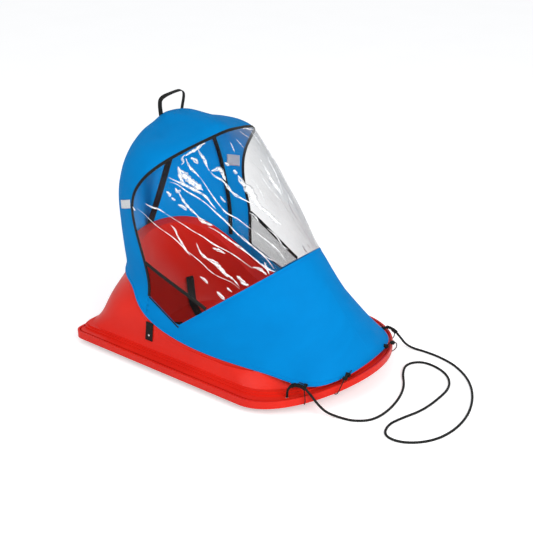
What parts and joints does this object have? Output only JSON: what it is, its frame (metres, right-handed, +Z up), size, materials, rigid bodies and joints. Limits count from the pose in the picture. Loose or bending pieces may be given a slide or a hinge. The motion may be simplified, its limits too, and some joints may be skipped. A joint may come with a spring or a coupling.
{
  "type": "child's tow sled with canopy",
  "caption": "Moulded plastic tow sled with a high wrap-around back, under a fabric hood with a clear window, a foot apron and a pull rope.",
  "frame": {"origin": "on the floor under the middle of the hull", "axes": "+X towards the bow, +Y to the rider's left, +Z up"},
  "size_m": [1.1614, 0.626, 0.7365],
  "materials": {
    "hull_plastic": "moulded, satin",
    "canopy_cloth": "coated weave",
    "clear_vinyl": "soft clear sheet",
    "black_tape": "ribbed tape",
    "black_webbing": "woven webbing",
    "black_cord": "braided",
    "black_plastic": "moulded",
    "reflective_tape": "reflective",
    "bright_metal": "plated"
  },
  "bodies": {
    "root": {"hull": "hull_plastic", "hood": "canopy_cloth", "apron": "canopy_cloth", "window": "clear_vinyl", "face_binding": "black_tape", "vent_tape_left": "black_tape", "vent_tape_right": "black_tape", "rear_hoop": "black_tape", "back_strap": "black_webbing", "carry_handle": "black_webbing", "lap_belt_left": "black_webbing", "lap_belt_right": "black_webbing", "lap_belt_buckle": "black_plastic", "reflector_left": "reflective_tape", "reflector_right": "reflective_tape", "anchor_strap_left": "black_webbing", "anchor_strap_right": "black_webbing", "anchor_rivet_left": "bright_metal", "anchor_rivet_right": "bright_metal", "corner_tie_left": "black_cord", "corner_tie_right": "black_cord", "front_tie_left": "black_cord", "front_tie_right": "black_cord", "rope_knot_left": "black_cord", "rope_knot_right": "black_cord", "pull_rope": "black_cord"}
  },
  "joints": []
}
